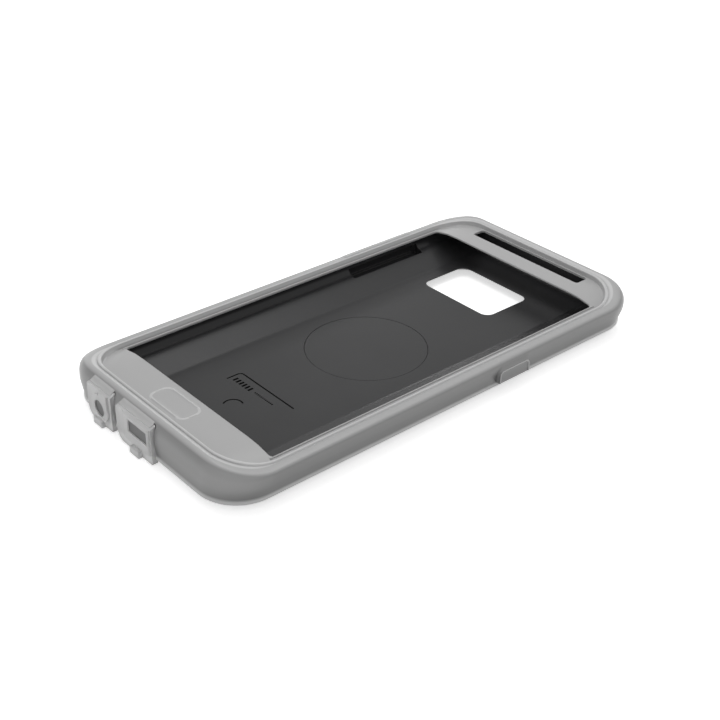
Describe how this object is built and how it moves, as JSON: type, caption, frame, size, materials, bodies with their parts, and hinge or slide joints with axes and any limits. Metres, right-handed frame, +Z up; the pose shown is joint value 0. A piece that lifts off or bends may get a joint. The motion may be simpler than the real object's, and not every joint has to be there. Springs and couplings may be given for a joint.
{
  "type": "bicycle phone case",
  "caption": "Hard black phone tray with a twist-lock disc in its back, a soft clear rain frame over its rim and hinged soft covers over the sockets.",
  "frame": {"origin": "middle of the bounding box, at the level that the back lies on", "axes": "+Z up towards the screen, Y along the case with the sockets at -Y, +X on the side with the single power key"},
  "size_m": [0.0838, 0.164, 0.0136],
  "materials": {
    "black_hard_plastic": "fine satin moulded grain",
    "black_disc_plastic": "fine satin moulded grain",
    "clear_soft_plastic": "frosted see-through soft plastic, smooth"
  },
  "bodies": {
    "case": {"rear_shell": "black_hard_plastic", "mount_disc": "black_disc_plastic", "rain_frame": "clear_soft_plastic"},
    "usb_cover": {"usb_flap": "clear_soft_plastic"},
    "jack_cover": {"jack_flap": "clear_soft_plastic"}
  },
  "joints": [
    {"name": "usb_cover_hinge", "type": "hinge", "parent": "case", "child": "usb_cover", "pos_m": [0, -0.07895, 0.01225], "axis": [-1, 0, 0], "range_deg": [0, 100], "stiffness_Nm_per_rad": 0.0002},
    {"name": "jack_cover_hinge", "type": "hinge", "parent": "case", "child": "jack_cover", "pos_m": [-0.0188, -0.07895, 0.01225], "axis": [-1, 0, 0], "range_deg": [0, 100], "stiffness_Nm_per_rad": 0.0002}
  ]
}
